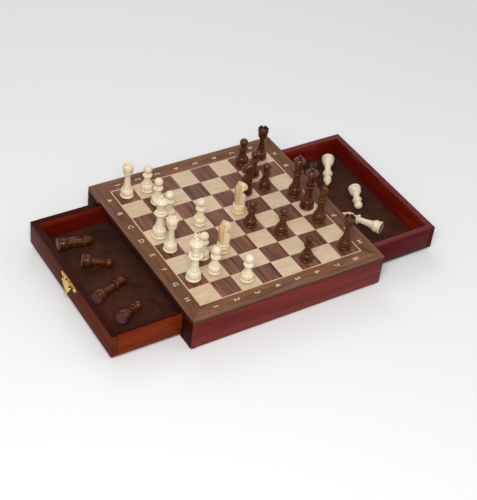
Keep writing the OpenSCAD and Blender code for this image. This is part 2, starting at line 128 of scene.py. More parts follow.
def wood(name, along, tones, seed, rough=0.34, coat=0.1, figure=95.0, pores=900.0, pore_depth=0.35, relief=0.12,
         spec=0.28, coat_rough=0.16):
    m, nt, bsdf = material(name)
    col, pore = wood_colour(nt, object_space(nt), along, tones, seed, figure, pores, pore_depth)
    feed(nt, bsdf, {"Base Color": col, "Roughness": maths(nt, "MULTIPLY_ADD", pore, -0.12, rough + 0.06),
                    "Normal": bump(nt, pore, relief), "Specular IOR Level": spec, "Coat Weight": coat,
                    "Coat Roughness": coat_rough})
    return m


# Finishes a bmesh as a piece: its object sits at the origin, its smooth faces
# break at edges sharper than the angle, and it rides on its body.
def piece(name, bm, mats, body, node=None, angle=35.0):
    me = bpy.data.meshes.new(name)
    bmesh.ops.recalc_face_normals(bm, faces=bm.faces)
    bm.to_mesh(me)
    bm.free()
    for m in mats:
        me.materials.append(m)
    me.polygons.foreach_set("use_smooth", [True] * len(me.polygons))
    me.set_sharp_from_angle(angle=math.radians(angle))
    ob = bpy.data.objects.new(name, me)
    bpy.context.scene.collection.objects.link(ob)
    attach(ob, body)
    if node:
        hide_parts(*([node] if isinstance(node, str) else node))


# a better material in every slot of a CAD node
def dress(node, mat):
    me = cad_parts[node].data
    if not me.materials:
        me.materials.append(mat)
    for i in range(len(me.materials)):
        me.materials[i] = mat


def cuboid(bm, lo, hi, bevel, segments=2):
    t = bmesh.new()
    bmesh.ops.create_cube(t, size=1.0)
    for v in t.verts:
        v.co = Vector([(lo[i] + hi[i]) / 2 + v.co[i] * (hi[i] - lo[i]) for i in range(3)]) * MM
    if bevel:
        bmesh.ops.bevel(t, geom=t.edges[:], offset=bevel * MM, affect="EDGES", segments=segments,
                        profile=0.5, material=-1)
    merge(bm, t)


# matrices that move by millimetres and turn by degrees
def moved(x, y, z):
    return Matrix.Translation((x * MM, y * MM, z * MM))


def spun(degrees, axis):
    return Matrix.Rotation(math.radians(degrees), 4, axis)


# adds one bmesh to another, with a matrix if one is given
def merge(bm, other, matrix=None):
    tmp = bpy.data.meshes.new("tmp")
    if matrix is not None:
        bmesh.ops.transform(other, matrix=matrix, verts=other.verts)
    other.to_mesh(tmp)
    other.free()
    bm.from_mesh(tmp)
    bpy.data.meshes.remove(tmp)


# a CAD node's box, in millimetres
def mm_box(node):
    lo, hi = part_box(node)
    return [c * 1000 for c in lo], [c * 1000 for c in hi]


# closed smooth outline through points, as a Catmull-Rom curve
def smooth_loop(pts, n):
    out = []
    k = len(pts)
    for i in range(k):
        p0, p1, p2, p3 = (Vector(pts[(i + j) % k]) for j in (-1, 0, 1, 2))
        for s in range(n):
            t = s / n
            out.append(0.5 * (2 * p1 + (p2 - p0) * t + (2 * p0 - 5 * p1 + 4 * p2 - p3) * t * t
                              + (3 * p1 - p0 - 3 * p2 + p3) * t ** 3))
    return out


# a plate cut along an outline in its own x, y, from z0 to z1, with rounded front edges
def plate(outline, z0, z1, edge):
    t = bmesh.new()
    vs = [t.verts.new((p[0] * MM, p[1] * MM, z0 * MM)) for p in outline]
    f = t.faces.new(vs)
    t.normal_update()
    if f.normal.z > 0:
        f.normal_flip()
    ext = bmesh.ops.extrude_face_region(t, geom=[f])
    top = [e for e in ext["geom"] if isinstance(e, bmesh.types.BMVert)]
    bmesh.ops.translate(t, verts=top, vec=(0, 0, (z1 - z0) * MM))
    t.normal_update()
    rim = [e for e in t.edges if all(abs(v.co.z - z1 * MM) < 1e-9 for v in e.verts)]
    bmesh.ops.bevel(t, geom=rim, offset=edge * MM, affect="EDGES", segments=2, profile=0.5, material=-1)
    return t


# a turned solid about Z from a half section, as rings of vertices
def turned(points, seg=40, mat=0):
    t = bmesh.new()
    rings = []
    for r, z in points:
        if r < 1e-4:
            rings.append([t.verts.new((0, 0, z * MM))])
        else:
            rings.append([t.verts.new((r * MM * math.cos(2 * math.pi * k / seg),
                                       r * MM * math.sin(2 * math.pi * k / seg), z * MM)) for k in range(seg)])
    for a, b in zip(rings, rings[1:]):
        for k in range(seg):
            j = (k + 1) % seg
            if len(a) == 1 and len(b) == 1:
                continue
            if len(a) == 1:
                f = t.faces.new((a[0], b[j], b[k]))
            elif len(b) == 1:
                f = t.faces.new((a[k], a[j], b[0]))
            else:
                f = t.faces.new((a[k], a[j], b[j], b[k]))
            f.material_index = mat
    return t


# ---------------------------------------------------------- box: feet
# Four soft black pads near the corners, under the two long walls. They have a
# slight bulge and a fibrous surface.

pad, nt, bsdf = material("soft_pad")
fibres = noise(nt, object_space(nt), 2200.0, 4.0)
feed(nt, bsdf, {"Base Color": ramp(nt, fibres, [(0.3, "#121110"), (0.75, "#2c2a28")]), "Roughness": 0.95,
                "Normal": bump(nt, fibres, 0.5)})

PAD_AT = 143.5
bm = bmesh.new()
for sx in (-1, 1):
    for sy in (-1, 1):
        t = turned([(0, 0), (4.7, 0), (5.2, 0.2), (5.45, 0.7), (5.5, 1.3), (5.45, 2.5), (0, 2.5)])
        merge(bm, t, moved(sx * PAD_AT, sy * PAD_AT, 0))
piece("feet_pads", bm, [pad], "box", "feet")

# ---------------------------------------------------------- box: walls
# Front and back wall in red mahogany under a satin lacquer. Their ends, which frame the drawers, show darker end grain
# with painted shade over it, which makes them much darker.

wall_wood = wood("wall_mahogany", 0, [(0.30, "#581914"), (0.50, "#6b211a"), (0.72, "#7c2c20")], 3.1, rough=0.36,
                 coat=0.04, figure=60, pore_depth=0.18, spec=0.08)
# end grain, darkened further by painted shade
end_grain_shade_wood = wood("wall_end_grain_painted_shade", 2, [(0.3, "#230804"), (0.5, "#300d07"), (0.75, "#3c140d")], 8.3,
                rough=0.5, coat=0.0, figure=260, pores=1500, pore_depth=0.25, spec=0.03)

for node in ("front_wall", "back_wall"):
    lo, hi = mm_box(node)
    bm = bmesh.new()
    cuboid(bm, lo, hi, 0.9, segments=3)
    for f in bm.faces:
        if abs(f.calc_center_median().x) > (hi[0] - 0.1) * MM:
            f.material_index = 1
    piece(node + "_wood", bm, [wall_wood, end_grain_shade_wood], "box", node)

# ---------------------------------------------------------- box: inside
# Panels between the walls: the divider between the drawer bays and the panel
# under the board. The bottom, core, steel sheet and screws keep their CAD shape.

panel_wood = wood("panel_wood", 0, [(0.3, "#4b2f22"), (0.5, "#63402e"), (0.75, "#76503b")], 5.7, rough=0.55,
                  coat=0.0, figure=60)
# the panel under the board is dark: painted shade for the shadow line under the board's edge
under_panel_shade_wood = wood("panel_front_edge_painted_shade", 1, [(0.3, "#331710"), (0.5, "#431f16"), (0.75, "#512a1e")], 2.2,
                  rough=0.45, coat=0.05, figure=80)
steel, nt, bsdf = material("zinc_steel")
spots = noise(nt, object_space(nt), 1300.0, 4.0)
feed(nt, bsdf, {"Base Color": ramp(nt, spots, [(0.3, "#8f9296"), (0.7, "#b6b8ba")]), "Metallic": 1.0,
                "Roughness": 0.35})

for node, mat in (("divider", panel_wood), ("under_panel", under_panel_shade_wood)):
    bm = bmesh.new()
    cuboid(bm, *mm_box(node), 0.3)
    piece(node + "_wood", bm, [mat], "box", node)
for node, mat in (("bottom_panel", panel_wood), ("bottom_screws", steel), ("steel_sheet", steel),
                  ("board_core", panel_wood)):
    dress(node, mat)

# ---------------------------------------------------------- box: edge
# The dark band round the core, and over it the walnut border veneer. The border's grain runs along each strip, and the
# side strips are darker with painted shade.

band_wood = wood("edge_band_wood", 0, [(0.3, "#2b1310"), (0.5, "#3c1c17"), (0.75, "#4c2820")], 6.4,
                 rough=0.34, coat=0.08, figure=80, spec=0.2)
dress("edge_banding", band_wood)


def board_coordinates(nt):
    co = object_space(nt)
    return co, *add(nt, "ShaderNodeSeparateXYZ", {0: co}).outputs


# satin veneer of a colour, with its pores as relief
def lay_veneer(nt, bsdf, colour, pore, rough, spec, relief):
    feed(nt, bsdf, {"Base Color": colour, "Roughness": rough, "Specular IOR Level": spec,
                    "Normal": bump(nt, pore, relief)})


walnut, nt, bsdf = material("walnut_border")
co, x, y, z = board_coordinates(nt)
side = maths(nt, "GREATER_THAN", maths(nt, "ABSOLUTE", x), maths(nt, "ABSOLUTE", y))
swapped = add(nt, "ShaderNodeCombineXYZ", {0: y, 1: maths(nt, "ADD", x, 0.37), 2: z}).outputs[0]
grain = mix(nt, side, co, swapped)
col, pore = wood_colour(nt, grain, 0, [(0.28, "#5d3b29"), (0.5, "#7a5139"), (0.74, "#916548")], 4.2,
                        figure=150, pores=1100, pore_depth=0.32)
# painted shade: the side strips are multiplied darker
side_strip_shade = mix(nt, side, (1, 1, 1, 1), (0.8, 0.76, 0.74, 1))
lay_veneer(nt, bsdf, mix(nt, 1.0, col, side_strip_shade, "MULTIPLY"), pore, 0.46, 0.14, 0.1)
dress("border_strips", walnut)

# ---------------------------------------------------------- box: squares
# Veneer squares and the light line round them. Every square has its own tone
# and its own stretch of grain, as squares cut from several sheets have.

SQUARE = 31.4


def veneer(name, tones, seed, spread, pore_depth, along=0, stretch=0.07):
    m, nt, bsdf = material(name)
    co, x, y, _ = board_coordinates(nt)
    column, row = (maths(nt, "FLOOR", maths(nt, "DIVIDE", maths(nt, "ADD", c, 4 * SQUARE * MM), SQUARE * MM))
                   for c in (x, y))
    cell = add(nt, "ShaderNodeCombineXYZ", {0: column, 1: row, 2: seed}).outputs[0]
    rnd = add(nt, "ShaderNodeTexWhiteNoise", {"Vector": cell}, noise_dimensions="3D")
    shift = add(nt, "ShaderNodeVectorMath", {0: co, 1: rnd.outputs["Color"]}, operation="ADD").outputs[0]
    col, pore = wood_colour(nt, shift, along, tones, seed, figure=170, pores=1300, pore_depth=pore_depth,
                            stretch=stretch)
    tone = add(nt, "ShaderNodeMapRange", {"Value": rnd.outputs["Value"], "To Min": 1 - spread, "To Max": 1 + spread})
    hsv = add(nt, "ShaderNodeHueSaturation", {"Color": col, "Value": tone.outputs[0]})
    lay_veneer(nt, bsdf, hsv.outputs[0], pore, 0.42, 0.22, 0.08)
    return m


dress("dark_squares", veneer("dark_veneer", [(0.3, "#44241a"), (0.5, "#754838"), (0.7, "#8f6049")], 7.0, 0.14, 0.35,
                             along=1))
dress("light_squares", veneer("maple_veneer", [(0.25, "#c9ad8c"), (0.5, "#d0b898"), (0.75, "#d8c4a8")], 9.0, 0.06,
                              0.12, stretch=0.3))
dress("inlay_line", wood("inlay_wood", 0, [(0.3, "#cfa980"), (0.7, "#dfbd96")], 1.4, rough=0.4, coat=0.0))

# ---------------------------------------------------------- box: marks
# The usual coordinates in the border, letters on the left and right and
# numbers in front and behind, laid a hair proud of the veneer.

ink, nt, bsdf = material("mark_ink")
feed(nt, bsdf, {"Base Color": ramp(nt, noise(nt, object_space(nt), 900.0, 3.0), [(0.3, "#d9bd97"), (0.7, "#ecd6b4")]),
                "Roughness": 0.45})

MARK_AT, MARK_Z = 136.6, 50.53
LETTER_SIZE, NUMBER_SIZE = 10.2, 11.2
marks = bmesh.new()
for i in range(8):
    off = (i - 3.5) * SQUARE
    for text, px, py, turn in (("ABCDEFGH"[i], -MARK_AT, -off, -90), ("ABCDEFGH"[i], MARK_AT, -off, 90),
                               (str(i + 1), off, -MARK_AT, -90), (str(i + 1), off, MARK_AT, 90)):
        cu = bpy.data.curves.new("mark", "FONT")
        cu.body = text
        cu.size = (LETTER_SIZE if text.isalpha() else NUMBER_SIZE) * MM
        cu.align_x = "CENTER"
        cu.align_y = "CENTER"
        cu.resolution_u = 4
        tmp = bpy.data.objects.new("mark", cu)
        t = bmesh.new()
        t.from_mesh(tmp.to_mesh())
        tmp.to_mesh_clear()
        bpy.data.objects.remove(tmp)
        bpy.data.curves.remove(cu)
        merge(marks, t, moved(px, py, MARK_Z) @ spun(turn, "Z"))
piece("board_marks", marks, [ink], "box")

# ---------------------------------------------------------- drawers
# Each drawer: front with rounded edges, two sides, back, and the felt on the bottom. The wood is red-brown; the rims,
# fronts and outer side faces get lit and shaded copies of it on each drawer: painted shade darkening the rims, painted
# light orange on the left drawer's outer faces, and a redder painted shade on the right.

inner_tones = [(0.28, "#560d07"), (0.5, "#6c140a"), (0.75, "#802a12")]
# painted light and shade: the sides' outer faces are copies of the inner wood, orange where lit on the left and dark
# purplish-red in shade on the right
outer_painted_light_tones = {"left": [(0.28, "#5c1d06"), (0.5, "#712708"), (0.75, "#83350f")],
               "right": [(0.28, "#400c10"), (0.5, "#4f1114"), (0.75, "#5e181a")]}
# painted shade on the rims: near black on the left drawer, purplish-brown on the right
rim_painted_shade_tones = {"left": [(0.3, "#240604"), (0.7, "#3a0f0a")], "right": [(0.3, "#5c252a"), (0.7, "#75393d")]}
# painted light and shade: each drawer's front gets its own lit or shaded copy of the wood
front_painted_light_tones = {"left": [(0.28, "#481b10"), (0.5, "#5a2616"), (0.75, "#6b331f")],
               "right": [(0.28, "#4b1412"), (0.5, "#5d1b17"), (0.75, "#6e261f")]}
floor_wood = wood("drawer_bottom_wood", 1, [(0.3, "#5a3c2c"), (0.7, "#7a5640")], 6.6, rough=0.55, coat=0.0)

felt, nt, bsdf = material("brown_felt")
co = object_space(nt)
clouds = ramp(nt, noise(nt, co, 45.0, 3.0, Distortion=0.4), [(0.32, "#46271d"), (0.68, "#5c3729")])
fibres = noise(nt, co, 1900.0, 5.0, Roughness=0.75)
nap = ramp(nt, fibres, [(0.25, "#6c5a50"), (0.7, "#ffffff")])
feed(nt, bsdf, {"Base Color": mix(nt, 1.0, clouds, nap, "MULTIPLY"), "Roughness": 1.0, "Specular IOR Level": 0.05,
                "Sheen Weight": 0.02, "Sheen Roughness": 0.5, "Normal": bump(nt, fibres, 0.7, 0.0004)})


# faces that look up, on the rim, get the second material, which holds the rims' painted shade
def paint_rim_shade(bm, z):
    for f in bm.faces:
        if f.normal.z > 0.5 and f.calc_center_median().z > (z - 1) * MM:
            f.material_index = 1


SIDE_T = 9
for side in ("left", "right"):
    body = side + "_drawer"
    side_wood = wood(side + "_drawer_side_wood", 0, inner_tones, 4.6, rough=0.3, figure=55, pore_depth=0.15, spec=0.2)
    outer_painted_light_wood = wood(side + "_drawer_outer_painted_light", 0, outer_painted_light_tones[side], 2.9, rough=0.3, coat=0.03, figure=55,
                      pore_depth=0.18, spec=0.03)
    cross_wood = wood(side + "_drawer_back_wood", 1, inner_tones, 7.9, rough=0.3, figure=55, pore_depth=0.15, spec=0.2)
    front_painted_light_wood = wood(side + "_drawer_front_wood", 1, front_painted_light_tones[side], 9.4, rough=0.3, coat=0.0, figure=50,
                      pore_depth=0.2, spec=0.01)
    rim_painted_shade_wood = wood(side + "_drawer_rim_painted_shade", 0, rim_painted_shade_tones[side], 3.7, rough=0.4, coat=0.0, pore_depth=0.2, spec=0.04)
    lo, hi = mm_box(side + "_drawer_front")
    bm = bmesh.new()
    cuboid(bm, lo, hi, 0.7, segments=3)
    paint_rim_shade(bm, hi[2])
    inward = 1 if side == "left" else -1
    for f in bm.faces:
        if f.normal.x * inward > 0.5:
            f.material_index = 2
    piece(side + "_drawer_front_wood", bm, [front_painted_light_wood, rim_painted_shade_wood, cross_wood], body, side + "_drawer_front")

    lo, hi = mm_box(side + "_drawer_sides")
    bm = bmesh.new()
    for y0, y1 in ((lo[1], lo[1] + SIDE_T), (hi[1] - SIDE_T, hi[1])):
        cuboid(bm, (lo[0], y0, lo[2]), (hi[0], y1, hi[2]), 0.45)
    paint_rim_shade(bm, hi[2])
    # the outermost side faces take the painted light copy
    for f in bm.faces:
        if abs(f.calc_center_median().y) > (hi[1] - 0.5) * MM:
            f.material_index = 2
    piece(side + "_drawer_sides_wood", bm, [side_wood, rim_painted_shade_wood, outer_painted_light_wood], body, side + "_drawer_sides")

    lo, hi = mm_box(side + "_drawer_back")
    bm = bmesh.new()
    cuboid(bm, lo, hi, 0.45)
    paint_rim_shade(bm, hi[2])
    piece(side + "_drawer_back_wood", bm, [cross_wood, rim_painted_shade_wood], body, side + "_drawer_back")

    dress(side + "_drawer_bottom", floor_wood)

    # felt, with a slightly rounded edge
    bm = bmesh.new()
    cuboid(bm, *mm_box(side + "_drawer_felt"), 0.35)
    piece(side + "_drawer_felt_cloth", bm, [felt], body, side + "_drawer_felt")

# ---------------------------------------------------------- pulls
# Stamped brass: a waisted backplate with a bead round its edge, two domed
# nails, ears with a pin, and a scalloped drop that ends in a small lip.

brass, nt, bsdf = material("stamped_brass")
co = object_space(nt)
patina = noise(nt, co, 260.0, 4.0)
feed(nt, bsdf, {"Base Color": ramp(nt, patina, [(0.3, "#cda45a"), (0.5, "#e3c07a"), (0.75, "#f0d898")]),
                "Metallic": 1.0, "Roughness": maths(nt, "MULTIPLY_ADD", patina, 0.2, 0.14),
                "Normal": bump(nt, noise(nt, co, 2600.0, 3.0), 0.15, 0.0001)})

PLATE_MID, PLATE_T = 33.2, 0.65
PIN_Z, PIN_OUT = 33.75, 2.9
NAIL_AT, EAR_AT = 15.84, 6.5
wing = [(0, 5.5), (3.2, 4.6), (5.6, 4.3), (8.6, 4.9), (11.4, 3.9), (13.8, 4.3), (16.4, 3.7), (18.6, 3.5), (20.6, 3.1),
        (21.9, 1.6), (21.7, 0.2), (20.4, -0.9), (19.2, -2.6), (17.2, -4.3), (14.6, -4.1), (12.2, -3.6), (9.6, -4.8),
        (6.6, -4.6), (3.6, -5.0)]
plate_line = smooth_loop(wing + [(0, -5.5)] + [(-a, c) for a, c in reversed(wing[1:])], 5)
drop_half = [(2.6, -1.0), (4.4, -2.8), (6.2, -3.2), (8.6, -2.4), (10.4, -0.6), (12.1, -1.6), (12.4, -3.4),
             (10.6, -5.0), (9.4, -6.6), (9.2, -8.6), (7.4, -10.6), (5.6, -12.6), (4.0, -13.9), (3.0, -15.2),
             (2.9, -17.0), (1.9, -18.9)]
drop_line = smooth_loop([(0, -0.8)] + drop_half + [(0, -19.4)] + [(-a, c) for a, c in reversed(drop_half)], 5)


# out of the drawer's front: own x along the front, own y up, own z outwards
def on_front(side, z):
    s = -1 if side == "left" else 1
    face = mm_box(side + "_drawer_front")
    x = face[0][0] if s < 0 else face[1][0]
    return Matrix(((0, 0, s, x * MM), (s, 0, 0, 0), (0, 1, 0, z * MM), (0, 0, 0, 1)))


# a pin along the front, own axes as above
def rod(r, half, y, z, ends):
    t = turned([(0, -half), (r - ends, -half), (r, -half + ends), (r, half - ends), (r - ends, half), (0, half)], 20)
    bmesh.ops.transform(t, matrix=moved(0, y, z) @ spun(90, "Y"), verts=t.verts)
    return t


for side in ("left", "right"):
    place = on_front(side, PLATE_MID)
    bm = bmesh.new()
    merge(bm, plate(plate_line, 0, PLATE_T, 0.2), place)
    # raised bead that follows the outline
    t = bmesh.new()
    outer = [(p[0] * 0.985, p[1] * 0.95) for p in plate_line]
    inner = [(p[0] * 0.93, p[1] * 0.80) for p in plate_line]
    loops = []
    for k in range(6):
        a = math.pi * k / 5
        f = 0.5 - 0.5 * math.cos(a)
        h = PLATE_T - 0.05 + 0.35 * math.sin(a)
        loops.append([t.verts.new(((p[0] * (1 - f) + q[0] * f) * MM, (p[1] * (1 - f) + q[1] * f) * MM, h * MM))
                      for p, q in zip(outer, inner)])
    for a, c in zip(loops, loops[1:]):
        for i in range(len(a)):
            j = (i + 1) % len(a)
            t.faces.new((a[i], a[j], c[j], c[i]))
    merge(bm, t, place)
    # stamped bosses on the wings and in the middle
    for px, py, rr in ((0, -0.2, 2.3), (9.2, 0, 1.6), (-9.2, 0, 1.6), (19.7, 1.1, 0.8), (-19.7, 1.1, 0.8)):
        t = turned([(rr, 0), (rr * 0.92, 0.35 * rr), (rr * 0.7, 0.6 * rr), (rr * 0.35, 0.75 * rr), (0, 0.8 * rr)], 20)
        bmesh.ops.transform(t, matrix=Matrix.Diagonal((1, 1, 0.5, 1)), verts=t.verts)
        merge(bm, t, place @ moved(px, py, PLATE_T - 0.1))
    # nails with domed heads, and ears
    for s in (-1, 1):
        t = turned([(0, -5.9), (0.5, -5.2), (0.62, 0), (0.62, 0.8), (1.5, 0.86), (1.45, 1.15), (1.05, 1.45), (0.5, 1.6),
                    (0, 1.63)], 18)
        merge(bm, t, place @ moved(s * NAIL_AT, 0, 0))
        ear = [(-1.8, 0.5)] + [(1.8 * math.cos(a), PIN_OUT + 1.8 * math.sin(a))
                               for a in [math.pi * (1 - k / 12) for k in range(13)]] + [(1.8, 0.5)]
        m = Matrix(((0, 0, 1, s * EAR_AT * MM), (1, 0, 0, (PIN_Z - PLATE_MID) * MM), (0, 1, 0, 0), (0, 0, 0, 1)))
        merge(bm, plate(ear, -0.7, 0.7, 0.2), place @ m)
    piece(side + "_pull_plate_brass", bm, [brass], side + "_drawer", side + "_pull_plate", angle=50)

    # drop: sheet with a domed middle, knuckle, pin and lip
    place = on_front(side, PIN_Z)
    bm = bmesh.new()
    merge(bm, plate(drop_line, PIN_OUT + 0.6, PIN_OUT + 1.6, 0.3), place)
    for py, ry, rx in ((-7.2, 5.0, 5.6), (-14.8, 1.9, 1.5)):
        t = turned([(1, 0), (0.93, 0.28), (0.75, 0.55), (0.45, 0.8), (0.2, 0.9), (0, 0.93)], 32)
        bmesh.ops.transform(t, matrix=Matrix.Diagonal((rx, ry, 0.9, 1)), verts=t.verts)
        merge(bm, t, place @ moved(0, py, PIN_OUT + 1.5))
    for r, half, y, z, ends in ((0.8, 7.6, 0, PIN_OUT, 0.2), (1.8, 5.05, 0, PIN_OUT, 0.3),
                                (1.1, 3.2, -18.9, PIN_OUT + 1.2, 0.5)):
        merge(bm, rod(r, half, y, z, ends), place)
    piece(side + "_pull_drop_brass", bm, [brass], side + "_pull", side + "_pull_drop", angle=50)

# ---------------------------------------------------------- chessmen
# Turned men. The radius at a height is the largest of the section's rings,
# sweeps and balls, so each dies into its neighbours. The felt is a maroon disc.

light_wood = wood("boxwood", 2, [(0.28, "#dac6a2"), (0.5, "#e9d9ba"), (0.75, "#f2e7cf")], 3.3, rough=0.32, coat=0.2,
                  figure=220, pores=1500, pore_depth=0.08, relief=0.06)
dark_wood = wood("dark_stained_wood", 2, [(0.28, "#3a1707"), (0.5, "#52260e"), (0.75, "#6e3a1b")], 6.1, rough=0.24,
                 coat=0.38, figure=200, pores=1400, pore_depth=0.25, relief=0.04, spec=0.16, coat_rough=0.08)
dark_wood.node_tree.nodes["Principled BSDF"].inputs["Coat IOR"].default_value = 1.35

# the light knights: the same boxwood, with honey-coloured locks in the mane
carved_wood = wood("boxwood_carved", 2, [(0.28, "#d5ba8a"), (0.5, "#e6d0a6"), (0.75, "#efdfbc")], 5.2, rough=0.34,
                   coat=0.15, figure=200, pores=1400, pore_depth=0.1, relief=0.06)
nt = carved_wood.node_tree
bsdf = nt.nodes["Principled BSDF"]
locks = add(nt, "ShaderNodeAttribute", attribute_name="mane").outputs["Fac"]
plain = bsdf.inputs["Base Color"].links[0].from_socket
feed(nt, bsdf, {"Base Color": mix(nt, locks, plain, lin("#c3905a"))})
maroon, nt, bsdf = material("maroon_felt")
feed(nt, bsdf, {"Base Color": ramp(nt, noise(nt, object_space(nt), 1800.0, 4.0), [(0.3, "#4a1416"), (0.7, "#74262a")]),
                "Roughness": 1.0, "Sheen Weight": 0.3})

# the felt under a man, the round of its rim, and what it stands or lies on
FELT_T = 0.5
RIM_R = 1.7
FLOOR = 11.0 + 0.25
TOP = 50.5 + 0.25


# a bead of height t
def ring(r, z, t):
    return lambda h: r - t / 2 + math.sqrt(max(0, t * t / 4 - (h - z) ** 2)) if abs(h - z) <= t / 2 else 0


# a stem that narrows from r0 at z0 to r1 at z1
def sweep(r0, z0, r1, z1, bend=2.2):
    return lambda h: r1 + (r0 - r1) * (1 - (h - z0) / (z1 - z0)) ** bend if z0 <= h <= z1 else 0


# a flare that widens from r0 at z0 to r1 at z1
def sweep_up(r0, z0, r1, z1, bend):
    return lambda h: r0 + (r1 - r0) * ((h - z0) / (z1 - z0)) ** bend if z0 <= h <= z1 else 0


# a circle about radius cx and height z, between z0 and z1
def ball(r, z, cx=0, z0=-99, z1=999):
    return lambda h: cx + math.sqrt(r * r - (h - z) ** 2) if abs(h - z) <= r and z0 <= h <= z1 else 0


def line(*p):
    def f(h):
        for (r0, z0), (r1, z1) in zip(p, p[1:]):
            if z0 <= h <= z1:
                return r0 + (r1 - r0) * (h - z0) / (z1 - z0)
        return 0
    return f


# a bell that is widest, r, at mid and draws in to r1 at z1, where its top lies nearly flat
def bell(r, mid, r1, z0, z1):
    def f(h):
        if z0 <= h <= mid:
            return r - 0.9 * ((mid - h) / (mid - z0)) ** 2
        return r1 + (r - r1) * math.sqrt(1 - ((h - mid) / (z1 - mid)) ** 2) if mid < h <= z1 else 0
    return f


# rim, bell and the step over the bell, of a man's foot, with a groove between each two
def foot(r, step_r, step_z):
    top, core = step_z - 1.4, step_r - 1
    return [line((r - 1.9, FELT_T), (r - 1.9, 5)), ring(r, FELT_T + RIM_R, 2 * RIM_R),
            bell(r - 0.6, 7.6, core, 4.6, top), line((core, top), (core, step_z)), ring(step_r, step_z + 0.2, 2)]


# drops points that lie within tol of a straight line between their neighbours
def thin(p, tol):
    keep = [0, len(p) - 1]
    stack = [(0, len(p) - 1)]
    while stack:
        a, b = stack.pop()
        d = Vector(p[b]) - Vector(p[a])
        best, at = tol, None
        for i in range(a + 1, b):
            w = Vector(p[i]) - Vector(p[a])
            s = abs(d.x * w.y - d.y * w.x) / d.length if d.length else w.length
            if s > best:
                best, at = s, i
        if at:
            keep.append(at)
            stack += [(a, at), (at, b)]
    return [p[i] for i in sorted(set(keep))]


# the half section of a man up to top, on steps of a twentieth of a millimetre
def section(shapes, top):
    n = int(round((top - FELT_T) / 0.05))
    heights = [FELT_T + (top - FELT_T) * i / n for i in range(n + 1)]
    p = [(max(f(h) for f in shapes), h) for h in heights]
    return [(0, FELT_T)] + thin(p, 0.03) + ([(0, top)] if p[-1][0] > 1e-3 else [])


# takes the cutter's volume out of a bmesh
def cut(bm, cutter):
    obs = []
    for b in (bm, cutter):
        me = bpy.data.meshes.new("cut")
        bmesh.ops.recalc_face_normals(b, faces=b.faces)
        b.to_mesh(me)
        b.free()
        ob = bpy.data.objects.new("cut", me)
        bpy.context.scene.collection.objects.link(ob)
        obs.append(ob)
    mod = obs[0].modifiers.new("cut", "BOOLEAN")
    mod.object = obs[1]
    mod.operation = "DIFFERENCE"
    mod.solver = "EXACT"
    bpy.context.view_layer.update()
    dg = bpy.context.evaluated_depsgraph_get()
    out = bmesh.new()
    out.from_mesh(obs[0].evaluated_get(dg).to_mesh())
    obs[0].evaluated_get(dg).to_mesh_clear()
    for ob in obs:
        me = ob.data
        bpy.data.objects.remove(ob)
        bpy.data.meshes.remove(me)
    return out


PAWN_R, OFFICER_R, ROYAL_R = 9.5, 9.75, 10.5


def pawn():
    return turned(section(foot(PAWN_R, 6.1, 14.4)
                          + [sweep(5.5, 15.4, 4.1, 26.6), ring(6.9, 26.6, 2.6), sweep(5.2, 27.1, 3.8, 31.1, 1),
                             ball(6.2, 36.8)], 43))


# a rook's turret is an open cup, from whose wall six merlons rise
def rook():
    wall, bore, cup_z, top = 7.7, 5.9, 50.6, 53
    half = section(foot(OFFICER_R, 6.5, 15.6)
                   + [sweep(5.8, 16.6, 3.8, 36), ball(6.9, 42, 0, 36, 42), line((6.9, 42), (wall, 49), (wall, cup_z)),
                      ring(7.9, 49.4, 1.4)], cup_z)
    bm = turned(half[:-1] + [(bore, cup_z), (bore, 50), (0, 50)])
    merlon = [(wall, 50.5), (wall, top - 0.2), (wall - 0.2, top), (bore + 0.2, top), (bore, top - 0.2), (bore, 50.5)]
    steps = 7
    for k in range(6):
        t = bmesh.new()
        cols = []
        for i in range(steps + 1):
            a = math.radians(60 * k + 8 + 44 * i / steps)
            cols.append([t.verts.new((r * math.cos(a) * MM, r * math.sin(a) * MM, z * MM)) for r, z in merlon])
        for a, c in zip(cols, cols[1:]):
            for i in range(6):
                j = (i + 1) % 6
                t.faces.new((a[i], a[j], c[j], c[i]))
        t.faces.new(cols[0])
        t.faces.new(list(reversed(cols[-1])))
        merge(bm, t)
    return bm


def bishop():
    bm = turned(section(foot(OFFICER_R, 6.5, 15.6)
                        + [sweep(5.8, 16.6, 4.2, 40), ring(7.6, 37, 2.6), ring(5.8, 40, 2), sweep(4.9, 40, 3.8, 44, 1),
                           ball(13, 50.5, -6.9, 42, 62), ball(2.6, 60.4)], 63))
    slit = bmesh.new()
    cuboid(slit, (0, -7.1, -0.5), (10.1, 7.1, 0.5), 0)
    bmesh.ops.transform(slit, matrix=moved(0.6, 0, 53) @ spun(-35, "Y"), verts=slit.verts)
    return cut(bm, slit)


def queen():
    bm = turned(section(foot(ROYAL_R, 6.9, 17)
                        + [sweep(6.3, 18, 4.3, 39.5), ring(8.3, 39.5, 3), ring(6.3, 43.1, 2.2),
                           sweep_up(4.8, 43.1, 9, 59.5, 1.6), ball(8.2, 56.5, 0, 59.5, 64.5), ball(2.5, 67)], 69.5),
                seg=48)
    notches = bmesh.new()
    for k in range(8):
        t = turned([(0, -1.1), (1.5, -1.1), (1.5, 1.1), (0, 1.1)], 20)
        merge(notches, t, spun(45 * k, "Z") @ moved(9.5, 0, 60.1) @ spun(90, "X"))
    return cut(bm, notches)


